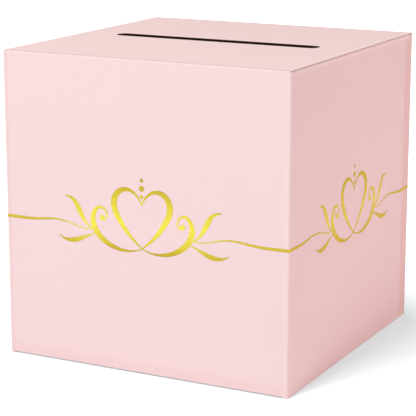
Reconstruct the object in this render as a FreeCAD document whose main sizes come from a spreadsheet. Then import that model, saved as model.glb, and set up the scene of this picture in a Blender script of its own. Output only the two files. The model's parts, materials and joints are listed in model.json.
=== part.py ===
import FreeCAD, Part
import Sketcher
import math
import os
from FreeCAD import Placement, Rotation, Vector

# Card box: a cube-shaped folding carton of paperboard with a slotted, hinged lid.
# Millimetres, +Z up, front panel towards -Y. The origin is on the floor, under the middle of the box.
# Walls are numbered anticlockwise from above: 0 front, 1 right, 2 back, 3 left.

SIZES = [
    ("box_width", 254.0, "outside width over the side panels"),
    ("box_depth", 254.0, "outside depth over the front and back panels"),
    ("box_height", 254.0, "floor to the top of the lid"),
    ("board", 0.8, "thickness of the paperboard"),
    ("corner_radius", 1.3, "outside radius of the upright folds"),
    ("crease_wing", 3.0, "flat width of a scored strip on each side of its fold"),
    ("layer_gap", 0.3, "clearance between the lid and the layers that it lies on"),
    ("front_drop", 0.4, "top edge of the front panel below the top of the lid"),
    ("lid_inset", 0.5, "raw side edge of the lid inside the side panel's face"),
    ("slot_length", 188.0, "card slot, along the front"),
    ("slot_width", 14.5, "card slot, front to back"),
    ("slot_end_flat", 1.0, "straight middle of each rounded end of the card slot"),
    ("tuck_depth", 26.0, "tuck flap, from its fold to its tip"),
    ("tuck_lean", 8.0, "inward lean of the tuck flap in degrees"),
    ("tuck_side_gap", 1.5, "tuck flap clear of the side panels"),
    ("tuck_taper", 4.0, "narrowing of each end of the tuck flap"),
    ("tuck_corner", 12.0, "corner radius of the tuck flap"),
    ("dust_depth", 27.0, "dust flap, from its fold to its tip"),
    ("dust_front_gap", 9.0, "dust flap behind the front face"),
    ("dust_back_gap", 8.0, "dust flap's fold before the back face"),
    ("dust_taper", 45.0, "slant of the dust flap's back end in degrees"),
    ("dust_corner", 6.0, "corner radius of the dust flap"),
    ("seam_width", 28.0, "seam flap's free edge from the left face"),
    ("seam_end_gap", 12.0, "seam flap short of the floor and of the lid"),
    ("seam_taper", 8.0, "narrowing of each end of the seam flap"),
    ("tape_film", 0.2, "thickness of the double-sided tape"),
    ("seam_tape_width", 15.0, "tape on the seam flap"),
    ("seam_tape_margin", 3.0, "tape inside the seam flap's edges"),
    ("bottom_gap", 1.0, "gap where two bottom flaps meet"),
    ("bottom_taper", 2.0, "narrowing of each end of a bottom flap"),
    ("bottom_tape_width", 18.0, "tape between the bottom layers"),
    ("bottom_tape_margin", 4.0, "tape from the outer flap's free edge"),
    ("bottom_tape_length", 200.0, "length of each bottom tape, front to back"),
    ("foil_film", 0.1, "height of the stamped foil over the board"),
    ("line_height", 117.5, "running foil line above the floor, at the corners"),
    ("line_width", 2.5, "running foil line's width at the corners"),
    ("line_wave", 3.0, "rise and fall of the running foil line"),
    ("motif_width", 153.0, "foil ornament, tip to tip"),
    ("motif_height", 60.0, "foil ornament, lowest stroke to top dot"),
    ("motif_base", 101.0, "foil ornament's lowest stroke above the floor"),
    ("motif_stroke", 5.4, "thickest stroke of the foil ornament"),
]

# Strokes of the right half of the foil ornament, mirrored for the left half.
# Each point is (across, up, weight): across in hundredths of half the ornament's width from its
# middle, up in hundredths of its height, weight in hundredths of its thickest stroke.
HEART = [(0, 63, 15), (6, 76, 34), (16, 83, 56), (28, 78, 88), (33, 63, 100), (27, 42, 88),
         (15, 22, 56), (0, 5, 15)]
SCROLL = [(0, 5, 15), (14, 0, 30), (31, 2, 60), (47, 12, 88), (57, 28, 96), (57.5, 45, 75),
          (50, 55, 44), (42.5, 50, 30), (43, 40, 26), (48, 38, 22)]
UPPER_LEAF = [(56, 22, 15), (68, 33, 44), (75, 48, 85), (82, 61, 56), (92, 65, 13)]
LOWER_LEAF = [(52, 19, 15), (67, 12.5, 41), (80, 6, 74), (90, 5, 48), (100, 10, 13)]
STROKES = [HEART, SCROLL, UPPER_LEAF, LOWER_LEAF]
# Round dots as (across, up, radius), in the same units.
SCROLL_EYE = (47.5, 41, 40)
TOP_DOTS = [(0, 75, 28), (0, 86, 43), (0, 97, 28)]
# The running line leaves the scroll at this point of the ornament, and is this wide there.
LINE_START = (56, 26)
LINE_START_WEIGHT = 18
# Points of the running line as (share of its run, rise in waves, share of its full width).
LINE_POINTS = [(0.13, -0.8, 0.36), (0.28, 0.15, 0.4), (0.44, 0.75, 0.56), (0.6, 0.35, 0.72),
               (0.75, 0, 0.88), (0.88, 0, 1)]

WALLS = range(4)
FRONT, RIGHT, BACK, LEFT = WALLS
UP = Vector(0, 0, 1)
ACROSS = Vector(1, 0, 0)
QUARTER_TURN = 90
CLOCKWISE = -1
ANTICLOCKWISE = 1
# Numbers by which a sketch knows the points of a line or arc, and its own origin.
START, END, CENTRE = range(1, 4)
SKETCH_ORIGIN = (-1, START)
PERCENT = 100
SAME_SPOT = 1e-6

# Distances that several pieces share, as expressions on the sheet.
HALF_WIDTH = "Sizes.box_width / 2"
HALF_DEPTH = "Sizes.box_depth / 2"
HALF_BOARD = "Sizes.board / 2"
WING = "Sizes.crease_wing"
FOLD_SPAN = "(Sizes.corner_radius + Sizes.crease_wing)"
FLAT_HALF_WIDTH = f"({HALF_WIDTH} - {FOLD_SPAN})"
FLAT_HALF_DEPTH = f"({HALF_DEPTH} - {FOLD_SPAN})"
TAPED_BOARD = "(Sizes.board + Sizes.tape_film)"
SEAM_HALF_DEPTH = f"({FLAT_HALF_DEPTH} - {TAPED_BOARD})"
LID_AXIS_Y = f"({HALF_DEPTH} - {HALF_BOARD})"
LID_AXIS_Z = f"(Sizes.box_height - {HALF_BOARD})"
LID_HALF_WIDTH = f"({HALF_WIDTH} - Sizes.lid_inset)"
BACK_TOP = f"({LID_AXIS_Z} - {WING})"
FRONT_TOP = "(Sizes.box_height - Sizes.front_drop)"
TUCK_FACE_Y = f"({HALF_DEPTH} - Sizes.board - Sizes.layer_gap)"
TUCK_AXIS_Y = f"({TUCK_FACE_Y} - {HALF_BOARD})"
TUCK_HALF_WIDTH = f"({HALF_WIDTH} - Sizes.board - Sizes.tuck_side_gap)"
SIDE_TOP = "(Sizes.box_height - Sizes.board - Sizes.layer_gap)"
DUST_AXIS_X = f"({HALF_WIDTH} - {HALF_BOARD})"
DUST_AXIS_Z = f"({SIDE_TOP} - {HALF_BOARD})"
DUST_FRONT = f"({HALF_DEPTH} - Sizes.dust_front_gap)"
DUST_BACK = f"({HALF_DEPTH} - Sizes.dust_back_gap)"
OUTER_AXIS_Z = f"({HALF_BOARD})"
INNER_AXIS_Z = f"({TAPED_BOARD} + {HALF_BOARD})"

doc = FreeCAD.newDocument("card_box")
sheet = doc.addObject("Spreadsheet::Sheet", "Sizes")
for row, (alias, number, note) in enumerate(SIZES, start=1):
    sheet.set(f"A{row}", note)
    sheet.set(f"B{row}", str(number))
    sheet.setAlias(f"B{row}", alias)
doc.recompute()

pieces = []


def value(expression):
    """The present number behind an expression on the sheet."""
    return float(sheet.evalExpression(expression))


def size(alias):
    return value(f"Sizes.{alias}")


def place(item, base, rotation=Rotation()):
    """Put an item at a base point of three expressions, turned by a rotation."""
    item.Placement = Placement(Vector(*[value(part) for part in base]), rotation)
    for axis, part in zip("xyz", base):
        item.setExpression(f"Placement.Base.{axis}", part)


def new_body(label):
    body = doc.addObject("PartDesign::Body", label)
    body.Label = label
    pieces.append(body)
    return body


def floor_plane(body):
    return next(item for item in body.Origin.OriginFeatures if item.Role == "XY_Plane")


def outline_sketch(body, name, corners, arcs=None):
    """A closed sketch through corners given as pairs of expressions.

    arcs gives the turn, 1 anticlockwise or -1 clockwise, of each segment that is an arc about the
    sketch's origin. A coordinate of None, at the end of an arc, follows from the arc's radius.
    """
    arcs = arcs or {}
    sketch = body.newObject("Sketcher::SketchObject", name)
    sketch.AttachmentSupport = [(floor_plane(body), "")]
    sketch.MapMode = "FlatFace"
    count = len(corners)
    points = [[None if part is None else value(part) for part in corner] for corner in corners]
    for number in arcs:
        radius = math.hypot(*points[number])
        end = points[(number + 1) % count]
        known = end[1] if end[0] is None else end[0]
        end[end.index(None)] = math.sqrt(radius ** 2 - known ** 2)
    points = [Vector(across, up, 0) for across, up in points]
    starts = [END if arcs.get(number) == CLOCKWISE else START for number in range(count)]
    ends = [START if arcs.get(number) == CLOCKWISE else END for number in range(count)]
    for number in range(count):
        here = points[number]
        there = points[(number + 1) % count]
        if number in arcs:
            first, last = (there, here) if arcs[number] == CLOCKWISE else (here, there)
            circle = Part.Circle(Vector(), UP, here.Length)
            arc = Part.ArcOfCircle(circle, math.atan2(first.y, first.x), math.atan2(last.y, last.x))
            sketch.addGeometry(arc)
            sketch.addConstraint(Sketcher.Constraint("Coincident", number, CENTRE, *SKETCH_ORIGIN))
        else:
            sketch.addGeometry(Part.LineSegment(here, there))
    for number in range(count):
        following = (number + 1) % count
        joint = ("Coincident", number, ends[number], following, starts[following])
        sketch.addConstraint(Sketcher.Constraint(*joint))
    for number, corner in enumerate(corners):
        for kind, part in zip(("DistanceX", "DistanceY"), corner):
            if part is None:
                continue
            spot = (*SKETCH_ORIGIN, number, starts[number])
            index = sketch.addConstraint(Sketcher.Constraint(kind, *spot, value(part)))
            constraint = f"{kind}_{number}"
            sketch.renameConstraint(index, constraint)
            sketch.setExpression(f"Constraints.{constraint}", part)
    return sketch


def pad(body, sketch, length, backwards=False, centred=False):
    feature = body.newObject("PartDesign::Pad", f"{sketch.Name}_pad")
    feature.Profile = sketch
    feature.Length = value(length)
    feature.setExpression("Length", length)
    feature.Reversed = backwards
    feature.SideType = "Symmetric" if centred else "One side"
    doc.recompute()
    return feature


def round_corners(body, feature, corners, radius):
    """Fillet the edges that stand on the given corners of an outline."""
    spots = [Vector(value(across), value(up), 0) for across, up in corners]
    names = []
    for number, edge in enumerate(feature.Shape.Edges, start=1):
        ends = [Vector(vertex.X, vertex.Y, 0) for vertex in edge.Vertexes]
        for spot in spots:
            if all(end.distanceToPoint(spot) < SAME_SPOT for end in ends):
                names.append(f"Edge{number}")
    fillet = body.newObject("PartDesign::Fillet", f"{body.Name}_corners")
    fillet.Base = (feature, names)
    fillet.Radius = value(radius)
    fillet.setExpression("Radius", radius)
    doc.recompute()


def plate(label, corners, backwards=False, centred=False):
    """A flat piece of board with the given outline."""
    body = new_body(label)
    sketch = outline_sketch(body, f"{label}_outline", corners)
    feature = pad(body, sketch, "Sizes.board", backwards, centred)
    return body, feature


def rectangle(left, right, low, high):
    return [(left, low), (right, low), (right, high), (left, high)]


def wall_turn(wall):
    return Rotation(UP, QUARTER_TURN * wall)


def face_turn(wall):
    """Turns local X, Y and Z to across a wall seen from outside, up it, and out of it."""
    return wall_turn(wall).multiply(Rotation(ACROSS, QUARTER_TURN))


def wall_base(wall):
    bases = [("0", f"-{HALF_DEPTH}"), (HALF_WIDTH, "0"), ("0", HALF_DEPTH), (f"-{HALF_WIDTH}", "0")]
    return (*bases[wall], "0")


def wall_panel(label, wall, corners):
    body, _ = plate(label, corners, backwards=True)
    place(body, wall_base(wall), face_turn(wall))


def side_outline(left, right, notch_left, notch_right):
    """A side panel's outline, stepped down at the top for the dust flap's fold."""
    low = f"{OUTER_AXIS_Z} + {WING}"
    notch = f"{DUST_AXIS_Z} - {WING}"
    return [(left, low), (right, low), (right, SIDE_TOP), (notch_right, SIDE_TOP),
            (notch_right, notch), (notch_left, notch), (notch_left, SIDE_TOP), (left, SIDE_TOP)]


def make_panels():
    low = f"{INNER_AXIS_Z} + {WING}"
    wall_panel("front_panel", FRONT, rectangle(f"-{FLAT_HALF_WIDTH}", FLAT_HALF_WIDTH, low, FRONT_TOP))
    wall_panel("right_panel", RIGHT, side_outline(f"-{FLAT_HALF_DEPTH}", FLAT_HALF_DEPTH,
                                                  f"-{DUST_FRONT}", DUST_BACK))
    wall_panel("back_panel", BACK, [
        (f"-{FLAT_HALF_WIDTH}", low), (FLAT_HALF_WIDTH, low), (FLAT_HALF_WIDTH, "0"),
        (HALF_WIDTH, "0"), (HALF_WIDTH, BACK_TOP), (f"-{FLAT_HALF_WIDTH}", BACK_TOP)])
    wall_panel("left_panel", LEFT, side_outline(f"-{SEAM_HALF_DEPTH}", FLAT_HALF_DEPTH,
                                                f"-{DUST_BACK}", DUST_FRONT))


def corner_fold(label, wall, top, tall_wing=None, tall_top=None, back_inset="0"):
    """The scored strip round the upright corner between a wall and the next one.

    The local Z runs down from the strip's top. The wing on the named wall may stand taller than the
    rest, and the fold may lie inside the back face by an inset.
    """
    body = new_body(label)
    outer = "Sizes.corner_radius"
    inner = "(Sizes.corner_radius - Sizes.board)"
    profile = [(f"-{WING}", outer), ("0", outer), (None, "0"), (outer, f"-{WING}"),
               (inner, f"-{WING}"), (inner, "0"), ("0", None), (f"-{WING}", inner)]
    fold = outline_sketch(body, f"{label}_fold", profile, {1: CLOCKWISE, 5: ANTICLOCKWISE})
    pad(body, fold, top)
    if tall_wing is not None:
        spans = {wall: rectangle(f"-{WING}", "0", inner, outer),
                 (wall + 1) % len(WALLS): rectangle(inner, outer, f"-{WING}", "0")}
        wing = outline_sketch(body, f"{label}_wing", spans[tall_wing])
        pad(body, wing, f"{tall_top} - {top}", backwards=True)
    side = "" if wall in (FRONT, RIGHT) else "-"
    depth_side = "" if wall in (RIGHT, BACK) else "-"
    base = (f"{side}({HALF_WIDTH} - {outer})", f"{depth_side}({HALF_DEPTH} - {outer} - {back_inset})", top)
    place(body, base, wall_turn(wall).multiply(Rotation(ACROSS, 2 * QUARTER_TURN)))


def make_corner_folds():
    corner_fold("front_right_fold", FRONT, SIDE_TOP, FRONT, FRONT_TOP)
    corner_fold("back_right_fold", RIGHT, BACK_TOP, RIGHT, SIDE_TOP)
    corner_fold("seam_fold", BACK, SIDE_TOP, back_inset=TAPED_BOARD)
    corner_fold("front_left_fold", LEFT, SIDE_TOP, FRONT, FRONT_TOP)


def crease(label, length, base, turn, lean="0"):
    """A scored strip that folds square, rounded about the fold line in the middle of the board.

    Local Z lies along the fold. One wing points along -X, the other along -Y, leaning towards -X.
    """
    body = new_body(label)
    lean_sine = f"sin({lean})"
    lean_cosine = f"cos({lean})"
    reach = f"({HALF_BOARD} * (1 + {lean_sine}) / {lean_cosine})"
    profile = [
        (f"-{WING}", HALF_BOARD),
        ("0", HALF_BOARD),
        (None, f"-{HALF_BOARD} * {lean_sine}"),
        (f"{HALF_BOARD} * {lean_cosine} - {WING} * {lean_sine}",
         f"-{HALF_BOARD} * {lean_sine} - {WING} * {lean_cosine}"),
        (f"-{HALF_BOARD} * {lean_cosine} - {WING} * {lean_sine}",
         f"{HALF_BOARD} * {lean_sine} - {WING} * {lean_cosine}"),
        (f"-{HALF_BOARD} * {lean_cosine} - {reach} * {lean_sine}", f"-{HALF_BOARD}"),
        (f"-{WING}", f"-{HALF_BOARD}"),
    ]
    pad(body, outline_sketch(body, f"{label}_fold", profile, {1: CLOCKWISE}), length, centred=True)
    place(body, base, turn)


def top_turn(wall):
    """Turns a crease's wings to inwards and down, along the top of a wall."""
    outwards = wall_turn(wall).multVec(Vector(0, -1, 0))
    return Rotation(outwards, UP, outwards.cross(UP), "ZXY")


def bottom_turn(wall):
    """Turns a crease's wings to inwards and up, along the bottom of a wall."""
    outwards = wall_turn(wall).multVec(Vector(0, -1, 0))
    return Rotation(outwards, -UP, outwards.cross(-UP), "ZXY")


def make_lid():
    body, feature = plate("lid_panel", [
        (f"-{LID_HALF_WIDTH}", f"-{TUCK_FACE_Y}"),
        (f"-{TUCK_HALF_WIDTH}", f"-{TUCK_FACE_Y}"),
        (f"-{TUCK_HALF_WIDTH}", f"{WING} - {TUCK_AXIS_Y}"),
        (TUCK_HALF_WIDTH, f"{WING} - {TUCK_AXIS_Y}"),
        (TUCK_HALF_WIDTH, f"-{TUCK_FACE_Y}"),
        (LID_HALF_WIDTH, f"-{TUCK_FACE_Y}"),
        (LID_HALF_WIDTH, f"{LID_AXIS_Y} - {WING}"),
        (f"-{LID_HALF_WIDTH}", f"{LID_AXIS_Y} - {WING}"),
    ], backwards=True)
    solid_volume = feature.Shape.Volume
    half_length = "Sizes.slot_length / 2"
    half_slot = "Sizes.slot_width / 2"
    slot_corners = rectangle(f"-{half_length}", half_length, f"-{half_slot}", half_slot)
    pocket = body.newObject("PartDesign::Pocket", "lid_panel_slot")
    pocket.Profile = outline_sketch(body, "lid_panel_slot_outline", slot_corners)
    pocket.Type = "ThroughAll"
    pocket.SideType = "Symmetric"
    doc.recompute()
    if pocket.Shape.Volume >= solid_volume:
        raise RuntimeError("the card slot cuts nothing")
    round_corners(body, pocket, slot_corners, "(Sizes.slot_width - Sizes.slot_end_flat) / 2")
    place(body, ("0", "0", "Sizes.box_height"))
    crease("lid_crease", f"2 * {LID_HALF_WIDTH}", ("0", LID_AXIS_Y, LID_AXIS_Z), top_turn(BACK))


def make_tuck():
    base = ("0", f"-{TUCK_AXIS_Y}", LID_AXIS_Z)
    crease("tuck_crease", f"2 * {TUCK_HALF_WIDTH}", base, top_turn(FRONT), "Sizes.tuck_lean")
    tip = f"({TUCK_HALF_WIDTH} - Sizes.tuck_taper)"
    corners = [(f"-{tip}", "-Sizes.tuck_depth"), (tip, "-Sizes.tuck_depth"),
               (TUCK_HALF_WIDTH, f"-{WING}"), (f"-{TUCK_HALF_WIDTH}", f"-{WING}")]
    body, feature = plate("tuck_flap", corners, centred=True)
    round_corners(body, feature, corners[:2], "Sizes.tuck_corner")
    place(body, base, Rotation(ACROSS, QUARTER_TURN + size("tuck_lean")))


def make_dust_flap(name, side, wall):
    """A dust flap and its fold, on the right (side 1) or the left (side -1)."""
    fold_edge = f"{side} * ({DUST_AXIS_X} - {WING})"
    tip = f"{side} * ({DUST_AXIS_X} - Sizes.dust_depth)"
    slant = f"(Sizes.dust_depth - {WING}) * tan(Sizes.dust_taper)"
    corners = [(fold_edge, f"-{DUST_FRONT}"), (tip, f"-{DUST_FRONT}"),
               (tip, f"{DUST_BACK} - {slant}"), (fold_edge, DUST_BACK)]
    body, feature = plate(f"dust_flap_{name}", corners, backwards=True)
    round_corners(body, feature, corners[1:3], "Sizes.dust_corner")
    place(body, ("0", "0", SIDE_TOP))
    middle = f"({DUST_BACK} - {DUST_FRONT}) / 2"
    base = (f"{side} * {DUST_AXIS_X}", middle, DUST_AXIS_Z)
    crease(f"dust_crease_{name}", f"{DUST_BACK} + {DUST_FRONT}", base, top_turn(wall))


def make_bottom_flap(name, wall, reach, left_span, right_span, axis_height):
    """A bottom flap and its fold, seen from above with the wall at the near side.

    reach is half the box across the fold. The spans run along the fold from the middle of the wall.
    """
    free_edge = "-Sizes.bottom_gap / 2"
    fold_edge = f"-({reach} - {HALF_BOARD} - {WING})"
    taper = "Sizes.bottom_taper"
    body, _ = plate(f"bottom_flap_{name}", [
        (f"-{left_span}", fold_edge), (right_span, fold_edge),
        (f"{right_span} - {taper}", free_edge), (f"{taper} - {left_span}", free_edge)], centred=True)
    place(body, ("0", "0", axis_height), wall_turn(wall))
    fold = f"({reach} - {HALF_BOARD})"
    shift = f"(({right_span} - {left_span}) / 2)"
    bases = [(shift, f"-{fold}"), (fold, shift), (f"-{shift}", fold), (f"-{fold}", f"-{shift}")]
    base = (*bases[wall], axis_height)
    crease(f"bottom_crease_{name}", f"{left_span} + {right_span}", base, bottom_turn(wall))


def make_bottom():
    """Left and right flaps lie on the floor, front and back flaps lie on them."""
    make_bottom_flap("right", RIGHT, HALF_WIDTH, FLAT_HALF_DEPTH, FLAT_HALF_DEPTH, OUTER_AXIS_Z)
    make_bottom_flap("left", LEFT, HALF_WIDTH, SEAM_HALF_DEPTH, FLAT_HALF_DEPTH, OUTER_AXIS_Z)
    make_bottom_flap("front", FRONT, HALF_DEPTH, FLAT_HALF_WIDTH, FLAT_HALF_WIDTH, INNER_AXIS_Z)
    make_bottom_flap("back", BACK, HALF_DEPTH, FLAT_HALF_WIDTH, FLAT_HALF_WIDTH, INNER_AXIS_Z)


def strip(label, base, length, width, height):
    """A strip of double-sided tape."""
    tape = doc.addObject("Part::Box", label)
    tape.Label = label
    for side, part in (("Length", length), ("Width", width), ("Height", height)):
        tape.setExpression(side, part)
    place(tape, base)
    pieces.append(tape)


def make_seam():
    """The flap inside the back panel that closes the tube, and the tape that holds it there."""
    free_edge = f"({HALF_WIDTH} - Sizes.seam_width)"
    low = "Sizes.seam_end_gap"
    high = "(Sizes.box_height - Sizes.seam_end_gap)"
    free_low = f"({low} + Sizes.seam_taper)"
    free_high = f"({high} - Sizes.seam_taper)"
    inside = f"({HALF_DEPTH} - {TAPED_BOARD})"
    outline = [(FLAT_HALF_WIDTH, low), (FLAT_HALF_WIDTH, high), (free_edge, free_high), (free_edge, free_low)]
    body, _ = plate("seam_flap", outline, backwards=True)
    place(body, ("0", inside, "0"), face_turn(BACK))
    margin = "Sizes.seam_tape_margin"
    tape_low = f"({free_low} + {margin})"
    tape_high = f"({free_high} - {margin})"
    strip("seam_tape", (f"{margin} - {FLAT_HALF_WIDTH}", inside, tape_low),
          "Sizes.seam_tape_width", "Sizes.tape_film", f"{tape_high} - {tape_low}")


def make_bottom_tapes():
    near = "(Sizes.bottom_gap / 2 + Sizes.bottom_tape_margin)"
    lefts = {"right": near, "left": f"-({near} + Sizes.bottom_tape_width)"}
    for name, left in lefts.items():
        strip(f"bottom_tape_{name}", (left, "-Sizes.bottom_tape_length / 2", "Sizes.board"),
              "Sizes.bottom_tape_width", "Sizes.bottom_tape_length", "Sizes.tape_film")


def spline(points):
    curve = Part.BSplineCurve()
    curve.interpolate(points)
    return curve


def stroke_face(points, last_heading=None):
    """A pen stroke through points of (across, up, width), with its width square to its path."""
    path = [Vector(across, up, 0) for across, up, _ in points]
    curve = spline(path)
    headings = [curve.tangent(curve.parameter(spot))[0] for spot in path]
    if last_heading is not None:
        headings[-1] = last_heading
    one_side = []
    other_side = []
    for spot, heading, (_, _, width) in zip(path, headings, points):
        out = UP.cross(heading) * (width / 2)
        one_side.append(spot + out)
        other_side.append(spot - out)
    edges = [spline(one_side).toShape(),
             Part.makeLine(one_side[-1], other_side[-1]),
             spline(other_side).toShape(),
             Part.makeLine(other_side[0], one_side[0])]
    return Part.Face(Part.Wire(Part.__sortEdges__(edges)))


def dot_face(across, up, radius):
    return Part.Face(Part.Wire(Part.makeCircle(radius, Vector(across, up, 0))))


def mirrored(face):
    return face.mirror(Vector(), ACROSS)


def ornament_faces():
    """The ornament's strokes and dots, about the middle of a wall, heights from the floor."""
    half = size("motif_width") / 2 / PERCENT
    rise = size("motif_height") / PERCENT
    base = size("motif_base")
    weight = size("motif_stroke") / PERCENT
    faces = []
    for stroke in STROKES:
        points = [(across * half, base + up * rise, heavy * weight) for across, up, heavy in stroke]
        face = stroke_face(points)
        faces += [face, mirrored(face)]
    across, up, heavy = SCROLL_EYE
    eye = dot_face(across * half, base + up * rise, heavy * weight)
    faces += [eye, mirrored(eye)]
    for across, up, heavy in TOP_DOTS:
        faces.append(dot_face(across * half, base + up * rise, heavy * weight))
    return faces


def line_face(reach):
    """The running line from the ornament's right scroll to a wall's edge, at reach from its middle."""
    start_across = LINE_START[0] * size("motif_width") / 2 / PERCENT
    start_up = size("motif_base") + LINE_START[1] * size("motif_height") / PERCENT
    full = size("line_width")
    points = [(start_across, start_up, LINE_START_WEIGHT * size("motif_stroke") / PERCENT)]
    for share, waves, width in LINE_POINTS:
        across = start_across + share * (reach - start_across)
        points.append((across, size("line_height") + waves * size("line_wave"), width * full))
    points.append((reach, size("line_height"), full))
    return stroke_face(points, ACROSS)


def corner_band(reach):
    """The running line's quarter turn round the upright fold at the right end of a wall."""
    radius = size("corner_radius")
    centre = Vector(reach, size("line_height") - size("line_width") / 2, -radius)
    edges = []
    ends = []
    for bend in (radius, radius + size("foil_film")):
        stops = [centre + Vector(bend * math.sin(turn), 0, bend * math.cos(turn))
                 for turn in (0, math.pi / 4, math.pi / 2)]
        edges.append(Part.Arc(*stops).toShape())
        ends.append((stops[0], stops[-1]))
    edges += [Part.makeLine(inner, outer) for inner, outer in zip(*ends)]
    section = Part.Face(Part.Wire(Part.__sortEdges__(edges)))
    return section.extrude(Vector(0, size("line_width"), 0))


def make_foil(label, wall, left_reach, right_reach, turns_corner):
    faces = ornament_faces()
    faces.append(line_face(value(right_reach)))
    faces.append(mirrored(line_face(value(left_reach))))
    flat = faces[0].multiFuse(faces[1:]).removeSplitter()
    film = Vector(0, 0, size("foil_film"))
    solids = [face.extrude(film) for face in flat.Faces]
    if turns_corner:
        solids.append(corner_band(value(right_reach)))
    shape = solids[0].multiFuse(solids[1:]).removeSplitter()
    foil = doc.addObject("Part::Feature", label)
    foil.Label = label
    foil.Shape = Part.makeCompound(shape.Solids)
    foil.Placement = Placement(Vector(*[value(part) for part in wall_base(wall)]), face_turn(wall))
    pieces.append(foil)


def make_foils():
    radius = "Sizes.corner_radius"
    make_foil("foil_front", FRONT, f"{HALF_WIDTH} - {radius}", f"{HALF_WIDTH} - {radius}", True)
    make_foil("foil_right", RIGHT, f"{HALF_DEPTH} - {radius}", f"{HALF_DEPTH} - {radius}", True)
    make_foil("foil_back", BACK, f"{HALF_WIDTH} - {radius}", HALF_WIDTH, False)
    make_foil("foil_left", LEFT, f"{HALF_DEPTH} - {radius} - {TAPED_BOARD}", f"{HALF_DEPTH} - {radius}", True)


def write_pieces():
    """Check every object of the document, then write each piece to its own file."""
    doc.recompute()
    for item in doc.Objects:
        if "Invalid" in item.State or "Error" in item.State:
            raise RuntimeError(f"{item.Label} failed: {item.State}")
    for piece in pieces:
        if piece.Shape.isNull() or not piece.Shape.isValid() or not piece.Shape.Solids:
            raise RuntimeError(f"{piece.Label} has no valid solid")
    os.makedirs("parts", exist_ok=True)
    for piece in pieces:
        piece.Shape.exportStep(f"parts/{piece.Label}.step")
        print(f"{piece.Label}: {len(piece.Shape.Solids)} solid, {piece.Shape.Volume:.1f} mm3")


make_panels()
make_corner_folds()
make_seam()
make_lid()
make_tuck()
make_dust_flap("right", 1, RIGHT)
make_dust_flap("left", -1, LEFT)
make_bottom()
make_bottom_tapes()
make_foils()
write_pieces()
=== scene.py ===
import bpy
import json
import math
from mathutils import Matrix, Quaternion, Vector


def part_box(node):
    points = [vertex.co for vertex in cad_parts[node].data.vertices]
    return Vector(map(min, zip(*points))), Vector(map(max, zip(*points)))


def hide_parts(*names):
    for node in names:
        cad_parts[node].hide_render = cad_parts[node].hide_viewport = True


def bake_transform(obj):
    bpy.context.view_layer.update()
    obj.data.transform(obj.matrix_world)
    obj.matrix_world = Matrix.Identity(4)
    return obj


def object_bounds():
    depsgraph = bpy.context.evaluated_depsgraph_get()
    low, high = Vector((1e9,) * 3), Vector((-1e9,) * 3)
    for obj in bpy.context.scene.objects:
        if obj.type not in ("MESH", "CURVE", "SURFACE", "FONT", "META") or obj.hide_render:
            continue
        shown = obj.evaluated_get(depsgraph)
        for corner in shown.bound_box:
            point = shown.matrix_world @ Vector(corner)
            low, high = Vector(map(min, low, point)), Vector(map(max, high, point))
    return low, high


# Card box of pink paperboard with gold foil: materials, the folds that move, floor, light and camera.
# Metres, +Z up, front panel towards -Y.

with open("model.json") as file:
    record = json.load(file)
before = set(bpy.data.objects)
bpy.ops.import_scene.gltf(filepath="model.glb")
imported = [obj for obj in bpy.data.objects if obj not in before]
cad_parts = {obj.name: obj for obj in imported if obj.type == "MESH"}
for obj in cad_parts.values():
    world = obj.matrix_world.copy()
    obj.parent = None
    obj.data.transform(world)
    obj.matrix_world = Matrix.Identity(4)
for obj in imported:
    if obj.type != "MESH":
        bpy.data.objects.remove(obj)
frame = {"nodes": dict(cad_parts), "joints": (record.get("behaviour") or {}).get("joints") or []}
cad_low, cad_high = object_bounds()
nodes = frame["nodes"]
joints = {joint["name"]: joint for joint in frame["joints"]}

MM = 0.001
lid_low, lid_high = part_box("lid_panel")
BOARD = lid_high.z - lid_low.z
BOX_MIDDLE = (cad_low + cad_high) / 2
UP = Vector((0, 0, 1))
BACK = Vector((0, 1, 0))
RIGHT = Vector((1, 0, 0))

# Colours of the board, the foil and the tape, in linear light.
WHITE = (1, 1, 1)
PINK = (0.90, 0.69, 0.705)
PINK_DEEP = (0.865, 0.605, 0.60)
PINK_PALE = (0.955, 0.745, 0.75)
# Painted shade of the tuck fold along the lid's front edge.
PINK_CREASED = (0.81, 0.61, 0.605)
# Painted light: the lid's pink is warmer than the walls', for warm light from above.
PINK_LID = (0.90, 0.69, 0.672)
KRAFT = (0.33, 0.15, 0.07)
KRAFT_DARK = (0.19, 0.08, 0.035)
KRAFT_LIGHT = (0.44, 0.25, 0.14)
CORE = (0.90, 0.70, 0.69)
# Painted shade: near-black brown on the cut edges round the card slot.
SCORCHED = (0.045, 0.010, 0.004)
TAPE = (0.84, 0.81, 0.73)
# Deep, middle and bright gold of the foil, which paint a reflection (darker on the sides: painted shade),
# and its tint at a flat angle.
FRONT_GOLD = ((0.328, 0.237, 0.02), (0.453, 0.364, 0.04), (0.53, 0.47, 0.058))
SIDE_GOLD = ((0.28, 0.187, 0.018), (0.36, 0.25, 0.025), (0.43, 0.32, 0.035))
GOLD_EDGE = (1.0, 0.87, 0.58)

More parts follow.
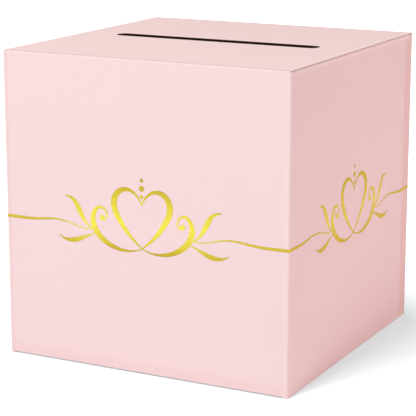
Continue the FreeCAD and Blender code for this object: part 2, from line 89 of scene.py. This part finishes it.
# Noise runs from 0 to 1. In a pattern, its part from low to high turns into values
# from first, or 0, to last.
NOISE_MIDDLE = 0.5
MOTTLE = dict(scale=28, detail=3, low=0.35, high=0.7, last=0.08)
FIBRES = dict(scale=1500, detail=2, low=0.35, high=0.75, last=0.1)
KRAFT_CLOUD = dict(scale=60, detail=2, low=0.3, high=0.7, last=0.15)
KRAFT_STREAKS = dict(scale=900, detail=3, low=0.4, high=0.7, last=0.35, stretch=(1, 0.25, 0.25))
KRAFT_FLECKS = dict(scale=420, detail=4, low=0.62, high=0.7, last=0.6)
CORE_GRAIN = dict(scale=2500, detail=2, low=0.3, high=0.7, last=0.35)
TAPE_HAZE = dict(scale=120, detail=3, low=0.35, high=0.7, last=0.4)
PAPER_ROUGHNESS = dict(scale=240, detail=2, low=0.3, high=0.7, first=0.66, last=0.78)
FOIL_ROUGHNESS = dict(scale=300, detail=3, low=0.3, high=0.7, first=0.22, last=0.36)
TAPE_ROUGHNESS = dict(scale=400, detail=2, low=0.3, high=0.7, first=0.3, last=0.45)
# Fine relief of the faces.
PAPER_RELIEF = dict(scale=1900, detail=3, strength=0.12, distance=0.05 * MM)
FOIL_RELIEF = dict(scale=2200, detail=2, strength=0.1, distance=0.03 * MM)
TAPE_RELIEF = dict(scale=700, detail=2, strength=0.1, distance=0.05 * MM)
PAPER_GLOSS = 0.12

# A face counts as the board's outside or inside when its cosine to that direction is over this.
FACING = 0.3
# Painted shade: the pink deepens between these heights towards the bottom folds.
DEEP_HIGH = 16 * MM
DEEP_LOW = 3 * MM
DEEP_TINT = 0.5
# Painted shade: the deeper strip along the right panel's back edge, and how far its edge blurs to each
# side.
BAND = 16 * MM
BAND_BLUR = 1.3 * MM
# Painted highlight: the paler strip at the top of the walls, under the lid.
RIM = 1.3 * MM
RIM_TINT = 0.8
# Painted highlight: the paler strip along the lid's raw sides.
BORDER = 5 * MM
BORDER_TINT = 0.6
# Half length and half width of the region that holds the card slot's cut edges.
SLOT_REACH = (95 * MM, 8 * MM)
# Painted reflection: shares of the foil's height where its gold is deep, middle, bright, middle
# and deep, and the noise that shifts these tones up and down.
GOLD_STOPS = (0.0, 0.16, 0.36, 0.66, 0.95)
GOLD_DRIFT = dict(scale=45, detail=2)
GOLD_DRIFT_HEIGHT = 14 * MM
# Distances from a wall's middle over which the foil goes from ornament to plain running line.
LINE_REACH = (55 * MM, 80 * MM)
LINE_TINT = 0.7

# Folds that move: fillet of the inner corner, and how far from the fold line the board bends.
BEAD = 0.35 * MM
ARC_STEPS = 8
WING_STEPS = 8
SQUARE = math.radians(90)
TUCK_LEAN = math.radians(8)
SHARP_ANGLE = math.radians(40)
# Material slots of a fold.
PRINTED, UNPRINTED, CUT = range(3)

FLOOR_SIZE = 12.0
# The floor lies a hair under the box, so that their faces don't fall together.
FLOOR_DROP = 0.02 * MM
FLOOR_SHADE = (0.85, 0.90, 0.90)
# The floor's own light, cooler than white to balance the pink that the box throws on it.
FLOOR_GLOW = (0.19, 0.27, 0.278)
# Distances from the middle of the box over which the floor turns from matte to plain white.
FLOOR_FADE = (0.175, 0.285)
WORLD_STRENGTH = 0.45
# Angles in degrees, power in watts. Azimuth 0 is in front and grows towards +X.
LAMPS = {
    "key": dict(azimuth=-12, height=52, distance=3.5, size=0.9, power=76.0, colour=(1.0, 0.957, 0.955)),
    "fill": dict(azimuth=97, height=-4.8, distance=0.8, size=0.1, power=1.2, colour=(1.0, 0.56, 0.48)),
    "back_fill": dict(azimuth=-135, height=1, distance=3.0, size=0.3, power=34.0, colour=(1.0, 0.85, 0.81)),
}
# Camera angles in radians, lens and sensor in millimetres.
CAMERA_PLACE = (0.61098, -1.19726, 0.42980)
CAMERA_YAW = 0.4766
CAMERA_PITCH = 0.2333
CAMERA_LENS = 139.9
CAMERA_SENSOR = 36.0

# Sockets of the mix node, by number because several of them share a name.
MIX_FACTOR = 0
MIX_FIRST = 6
MIX_SECOND = 7
MIX_RESULT = 2


class Shader:
    """The node tree of a material or of the world. Its calls add a node and hand back what comes out."""

    def __init__(self, owner):
        owner.use_nodes = True
        self.owner = owner
        self.tree = owner.node_tree
        self.tree.nodes.clear()

    def node(self, kind, inputs=None, **settings):
        made = self.tree.nodes.new(kind)
        for name, setting in settings.items():
            setattr(made, name, setting)
        for name, given in (inputs or {}).items():
            socket = made.inputs[name]
            if isinstance(given, bpy.types.NodeSocket):
                self.tree.links.new(given, socket)
            elif socket.type == "RGBA":
                socket.default_value = (*given, 1)
            else:
                socket.default_value = given
        return made.outputs

    def position(self):
        return self.node("ShaderNodeTexCoord")["Object"]

    def normal(self):
        return self.node("ShaderNodeTexCoord")["Normal"]

    def math(self, operation, first, second=0.0):
        return self.node("ShaderNodeMath", {0: first, 1: second}, operation=operation)[0]

    def vector(self, operation, first, second=(0, 0, 0)):
        made = self.node("ShaderNodeVectorMath", {0: first, 1: second}, operation=operation)
        return made["Value" if operation in ("DOT_PRODUCT", "LENGTH") else "Vector"]

    def axes(self, vector):
        return self.node("ShaderNodeSeparateXYZ", {0: vector})

    def mix(self, factor, first, second):
        inputs = {MIX_FACTOR: factor, MIX_FIRST: first, MIX_SECOND: second}
        return self.node("ShaderNodeMix", inputs, data_type="RGBA")[MIX_RESULT]

    def share(self, value, low, high):
        """How far a value has come from low to high, from 0 to 1."""
        return self.node("ShaderNodeMapRange", {"Value": value, "From Min": low, "From Max": high})[0]

    def remap(self, value, low, high, first=0.0, last=1.0):
        """A smooth step from first to last as a value goes from low to high."""
        inputs = {"Value": value, "From Min": low, "From Max": high, "To Min": first, "To Max": last}
        return self.node("ShaderNodeMapRange", inputs, interpolation_type="SMOOTHSTEP")[0]

    def noise(self, scale, detail, stretch=(1, 1, 1)):
        place = self.vector("MULTIPLY", self.position(), stretch)
        return self.node("ShaderNodeTexNoise", {"Vector": place, "Scale": scale, "Detail": detail})["Fac"]

    def pattern(self, scale, detail, low, high, last, first=0.0, stretch=(1, 1, 1)):
        return self.remap(self.noise(scale, detail, stretch), low, high, first, last)

    def relief(self, scale, detail, strength, distance):
        inputs = {"Height": self.noise(scale, detail), "Strength": strength, "Distance": distance}
        return self.node("ShaderNodeBump", inputs)["Normal"]

    def ramp(self, factor, stops, colours):
        made = self.node("ShaderNodeValToRGB", {"Fac": factor})["Color"]
        elements = made.node.color_ramp.elements
        for number, (stop, colour) in enumerate(zip(stops, colours)):
            element = elements[number] if number < len(elements) else elements.new(stop)
            element.position = stop
            element.color = (*colour, 1)
        return made

    def seen_directly(self):
        """1 for rays from the camera, from gloss and through glass, 0 for rays that only carry light."""
        path = self.node("ShaderNodeLightPath")
        shown = self.math("MAXIMUM", path["Is Camera Ray"], path["Is Glossy Ray"])
        return self.math("MAXIMUM", shown, path["Is Transmission Ray"])

    def principled(self, inputs):
        return self.finish(self.node("ShaderNodeBsdfPrincipled", inputs)[0])

    def finish(self, surface, output="ShaderNodeOutputMaterial"):
        self.node(output, {"Surface": surface})
        return self.owner


def new_shader(name):
    return Shader(bpy.data.materials.new(name))


def pink_colour(shader, tint=0.0, low_tint=DEEP_TINT, ground=PINK, deep=PINK_DEEP, rim=False, band=False,
                border=False):
    """The printed face, with faint mottling over the ground colour.

    A tint above 0 paints shade, turning it towards deep, and one below 0 paints a highlight that
    lightens it. The low tint paints shade that deepens it towards the bottom folds.
    The last three switches paint light: a paler highlight under the lid, deeper shade along the back
    edge, and a paler highlight along both side edges.
    """
    along = shader.axes(shader.position())
    colour = shader.mix(shader.pattern(**MOTTLE), ground, PINK_PALE)
    colour = shader.mix(shader.pattern(**FIBRES), colour, PINK_DEEP)
    # Painted shade towards the bottom folds.
    low = shader.remap(along["Z"], DEEP_HIGH, DEEP_LOW, 0.0, low_tint)
    colour = shader.mix(low, colour, PINK_DEEP)
    # Painted highlight at the top of the walls, under the lid.
    if rim:
        high = shader.remap(along["Z"], cad_high.z - 2 * RIM, cad_high.z - RIM, 0.0, RIM_TINT)
        colour = shader.mix(high, colour, PINK_PALE)
    # Painted shade along the back edge.
    if band:
        back = shader.remap(along["Y"], cad_high.y - BAND - BAND_BLUR, cad_high.y - BAND + BAND_BLUR)
        colour = shader.mix(back, colour, PINK_DEEP)
    # Painted highlight along the lid's side edges.
    if border:
        side = shader.math("ABSOLUTE", along["X"])
        near = shader.remap(side, cad_high.x - BORDER, cad_high.x - BORDER / 2, 0.0, BORDER_TINT)
        colour = shader.mix(near, colour, PINK_PALE)
    # Painted shade or highlight of a fold.
    return shader.mix(abs(tint), colour, deep if tint > 0 else PINK_PALE)


def kraft_colour(shader):
    """The unprinted face: brown pulp with light and dark fibres."""
    colour = shader.mix(shader.pattern(**KRAFT_CLOUD), KRAFT, KRAFT_LIGHT)
    colour = shader.mix(shader.pattern(**KRAFT_STREAKS), colour, KRAFT_DARK)
    return shader.mix(shader.pattern(**KRAFT_FLECKS), colour, KRAFT_LIGHT)


def core_colour(shader):
    """Cut edges: pale board, and painted shade in near-black brown round the card slot."""
    along = shader.axes(shader.position())
    pale = shader.mix(shader.pattern(**CORE_GRAIN), CORE, PINK_DEEP)
    near_x = shader.math("LESS_THAN", shader.math("ABSOLUTE", along["X"]), SLOT_REACH[0])
    near_y = shader.math("LESS_THAN", shader.math("ABSOLUTE", along["Y"]), SLOT_REACH[1])
    return shader.mix(shader.math("MULTIPLY", near_x, near_y), pale, SCORCHED)


def paper_material(shader, colour):
    return shader.principled({"Base Color": colour,
                              "Roughness": shader.pattern(**PAPER_ROUGHNESS),
                              "Specular IOR Level": PAPER_GLOSS,
                              "Normal": shader.relief(**PAPER_RELIEF)})


def board_material(name, across, **print_marks):
    """Board that is pink outside, kraft inside and pale at its cut edges.

    The outside looks away from the middle of the box, along the axes whose entry in across is 1.
    """
    shader = new_shader(name)
    from_middle = shader.vector("SUBTRACT", shader.position(), BOX_MIDDLE)
    outwards = shader.vector("NORMALIZE", shader.vector("MULTIPLY", from_middle, across))
    facing = shader.vector("DOT_PRODUCT", shader.normal(), outwards)
    outside = shader.math("GREATER_THAN", facing, FACING)
    inside = shader.math("LESS_THAN", facing, -FACING)
    colour = shader.mix(outside, core_colour(shader), pink_colour(shader, **print_marks))
    colour = shader.mix(inside, colour, kraft_colour(shader))
    return paper_material(shader, colour)


def face_material(name, colour_of, **marks):
    """Board with the same face all over, for pieces whose faces are told apart by their slots."""
    shader = new_shader(name)
    return paper_material(shader, colour_of(shader, **marks))


def foil_material(name, golds):
    """Stamped gold with a painted reflection: the ornament is brightest below half height, the running line
    is deeper all along.
    """
    shader = new_shader(name)
    deep, middle, bright = golds
    low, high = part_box("foil_front")
    along = shader.axes(shader.position())
    swing = shader.math("SUBTRACT", shader.noise(**GOLD_DRIFT), NOISE_MIDDLE)
    drift = shader.math("MULTIPLY", swing, GOLD_DRIFT_HEIGHT)
    level = shader.share(shader.math("ADD", along["Z"], drift), low.z, high.z)
    # Painted reflection: the gold ramps by height.
    tone = shader.ramp(level, GOLD_STOPS, (deep, middle, bright, middle, deep))
    from_middle = shader.math("MINIMUM", shader.math("ABSOLUTE", along["X"]),
                              shader.math("ABSOLUTE", along["Y"]))
    line = shader.remap(from_middle, *LINE_REACH, 0.0, LINE_TINT)
    return shader.principled({"Base Color": shader.mix(line, tone, deep),
                              "Metallic": 1.0,
                              "Specular Tint": GOLD_EDGE,
                              "Roughness": shader.pattern(**FOIL_ROUGHNESS),
                              "Normal": shader.relief(**FOIL_RELIEF)})


def tape_material():
    shader = new_shader("tape_satin")
    return shader.principled({"Base Color": shader.mix(shader.pattern(**TAPE_HAZE), TAPE, KRAFT_LIGHT),
                              "Roughness": shader.pattern(**TAPE_ROUGHNESS),
                              "Normal": shader.relief(**TAPE_RELIEF)})


def dress(material, *names):
    for name in names:
        for slot in nodes[name].material_slots:
            slot.material = material


def dress_nodes():
    dress(board_material("board_front_back", (0, 1, 0), rim=True),
          "front_panel", "back_panel", "seam_flap", "tuck_flap")
    dress(board_material("board_left", (1, 0, 0), low_tint=0.0), "left_panel")
    dress(board_material("board_right", (1, 0, 0), low_tint=0.0, band=True), "right_panel")
    dress(board_material("board_lid", (0, 0, 1), ground=PINK_LID, border=True), "lid_panel")
    dress(board_material("board_flat", (0, 0, 1)),
          "dust_flap_left", "dust_flap_right",
          "bottom_flap_left", "bottom_flap_right", "bottom_flap_front", "bottom_flap_back")
    # Painted highlight on the front right fold, painted shade on the other upright folds.
    dress(board_material("board_fold_light", (1, 1, 0), tint=-0.3, low_tint=0.3), "front_right_fold")
    dress(board_material("board_fold_soft", (1, 1, 0), tint=0.5), "front_left_fold", "seam_fold")
    dress(board_material("board_fold_deep", (1, 1, 0), tint=1.0), "back_right_fold")
    dress(board_material("board_bottom_front_back", (0, 1, 1)),
          "bottom_crease_front", "bottom_crease_back")
    dress(board_material("board_bottom_sides", (1, 0, 1), low_tint=0.0),
          "bottom_crease_left", "bottom_crease_right")
    dress(foil_material("gold_foil_front", FRONT_GOLD), "foil_front", "foil_back")
    # Painted shade: the side foils get a darker copy of the gold.
    dress(foil_material("gold_foil_sides", SIDE_GOLD), "foil_right", "foil_left")
    dress(tape_material(), "seam_tape", "bottom_tape_left", "bottom_tape_right")


def add_object(name, content):
    made = bpy.data.objects.new(name, content)
    bpy.context.scene.collection.objects.link(made)
    return made


def turned(vector, axis, angle):
    return Quaternion(axis, angle) @ vector


def fold_profile(first_wing, first_out, axis, turn, wing):
    """Outer and inner lines of a fold's section, from the end of its first wing to that of its second.

    first_wing points along the first wing and first_out out of its printed face. The second wing's
    printed face is the first's, turned about the axis.
    """
    half = BOARD / 2
    second_wing = turned(-first_wing, axis, turn)
    second_out = turned(first_out, axis, turn)
    corner = half * math.tan(turn / 2)
    tangent = corner + BEAD * math.tan(turn / 2)
    centre = first_wing * tangent - first_out * (half + BEAD)
    stations = [wing - (wing - tangent) * step / WING_STEPS for step in range(WING_STEPS)]
    outer = [first_wing * station + first_out * half for station in stations]
    inner = [first_wing * station - first_out * half for station in stations]
    for step in range(ARC_STEPS + 1):
        out = turned(first_out, axis, turn * step / ARC_STEPS)
        outer.append(out * half)
        inner.append(centre + out * BEAD)
    outer += [second_wing * station + second_out * half for station in reversed(stations)]
    inner += [second_wing * station - second_out * half for station in reversed(stations)]
    return outer, inner


def strip_faces(count):
    """Faces of a strip between four rows of points, and the material slot of each face.

    Each row has count points. The rows are the outer and inner line at one end, then at the other end.
    """
    outer, inner, far_outer, far_inner = (row * count for row in range(4))
    last = count - 1
    faces = []
    slots = []
    for here in range(last):
        there = here + 1
        faces += [(outer + here, outer + there, far_outer + there, far_outer + here),
                  (inner + there, inner + here, far_inner + here, far_inner + there),
                  (outer + there, outer + here, inner + here, inner + there),
                  (far_outer + here, far_outer + there, far_inner + there, far_inner + here)]
        slots += [PRINTED, UNPRINTED, CUT, CUT]
    faces += [(outer, far_outer, far_inner, inner),
              (outer + last, inner + last, far_inner + last, far_outer + last)]
    slots += [CUT, CUT]
    return faces, slots


def strip_mesh(name, rows, materials):
    faces, slots = strip_faces(len(rows[0]))
    mesh = bpy.data.meshes.new(name)
    mesh.from_pydata([point for row in rows for point in row], [], faces)
    for material in materials:
        mesh.materials.append(material)
    for polygon, slot in zip(mesh.polygons, slots):
        polygon.material_index = slot
        polygon.use_smooth = slot != CUT
    mesh.set_sharp_from_angle(angle=SHARP_ANGLE)
    return mesh


def fold_strip(name, node, joint, first_wing, first_out, turn, materials):
    """A scored strip laid along its joint's fold line, in place of the node of the same fold."""
    axis = first_wing.cross(first_out)
    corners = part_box(node)
    pivot = Vector(joint["pos_m"])
    wing = max((corner - pivot).dot(first_wing) for corner in corners)
    profile = fold_profile(first_wing, first_out, axis, turn, wing)
    ends = sorted(corner.dot(axis) for corner in corners)
    section = pivot - axis * pivot.dot(axis)
    rows = [[section + axis * end + point for point in line] for end in ends for line in profile]
    strip = add_object(name, strip_mesh(name, rows, materials))
    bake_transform(strip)
    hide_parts(node)


def make_folds():
    kraft = face_material("fold_kraft", kraft_colour)
    edge = face_material("fold_edge", core_colour)
    plain = face_material("fold_pink", pink_colour)
    # Painted shade on the tuck fold at the lid's front edge.
    creased = face_material("fold_pink_creased", pink_colour, tint=0.9, deep=PINK_CREASED)
    # Painted highlight on the dust folds at the side walls' tops.
    pale = face_material("fold_pink_pale", pink_colour, tint=-0.9)
    fold_strip("lid_fold", "lid_crease", joints["lid_hinge"], -UP, BACK, SQUARE, (plain, kraft, edge))
    fold_strip("tuck_fold", "tuck_crease", joints["tuck_fold"], BACK, UP, SQUARE + TUCK_LEAN,
               (creased, kraft, edge))
    for side, out in (("left", -RIGHT), ("right", RIGHT)):
        fold_strip(f"dust_fold_{side}", f"dust_crease_{side}", joints[f"dust_fold_{side}"],
                   -UP, out, SQUARE, (pale, kraft, edge))


def floor_material():
    """Matte near the box, where the shadow falls, and plain white further out."""
    shader = new_shader("floor_white")
    matte = shader.node("ShaderNodeBsdfDiffuse", {"Color": FLOOR_SHADE})[0]
    away = shader.vector("LENGTH", shader.position())
    tone = shader.mix(shader.share(away, *FLOOR_FADE), FLOOR_GLOW, WHITE)
    glow = shader.node("ShaderNodeEmission", {"Color": tone, "Strength": shader.seen_directly()})[0]
    return shader.finish(shader.node("ShaderNodeAddShader", {0: matte, 1: glow})[0])


def make_floor():
    half = FLOOR_SIZE / 2
    level = cad_low.z - FLOOR_DROP
    mesh = bpy.data.meshes.new("floor")
    corners = [(-half, -half, level), (half, -half, level), (half, half, level), (-half, half, level)]
    mesh.from_pydata(corners, [], [(0, 1, 2, 3)])
    mesh.materials.append(floor_material())
    floor = add_object("floor", mesh)


def make_world():
    """Even white light, at full strength where it is seen directly."""
    shader = Shader(bpy.data.worlds.new("studio"))
    dim = shader.node("ShaderNodeBackground", {"Color": WHITE, "Strength": WORLD_STRENGTH})[0]
    full = shader.node("ShaderNodeBackground", {"Color": WHITE})[0]
    choice = shader.node("ShaderNodeMixShader", {0: shader.seen_directly(), 1: dim, 2: full})[0]
    bpy.context.scene.world = shader.finish(choice, "ShaderNodeOutputWorld")


def make_lamp(name, azimuth, height, distance, size, power, colour):
    """A square soft lamp that looks at the middle of the box."""
    round_box = math.radians(azimuth)
    above = math.radians(height)
    level = math.cos(above)
    towards = Vector((math.sin(round_box) * level, -math.cos(round_box) * level, math.sin(above)))
    lamp = bpy.data.lights.new(name, "AREA")
    lamp.size = size
    lamp.energy = power
    lamp.color = colour
    holder = add_object(name, lamp)
    holder.location = BOX_MIDDLE + towards * distance
    holder.rotation_euler = towards.to_track_quat("Z", "Y").to_euler()


def make_camera():
    lens = bpy.data.cameras.new("camera")
    lens.lens = CAMERA_LENS
    lens.sensor_width = CAMERA_SENSOR
    holder = add_object("camera", lens)
    holder.location = CAMERA_PLACE
    holder.rotation_euler = (math.pi / 2 - CAMERA_PITCH, 0, CAMERA_YAW)
    bpy.context.scene.camera = holder


dress_nodes()
make_folds()
make_floor()
make_world()
for lamp_name, lamp_values in LAMPS.items():
    make_lamp(lamp_name, **lamp_values)
make_camera()
bpy.context.scene.view_settings.view_transform = "Standard"
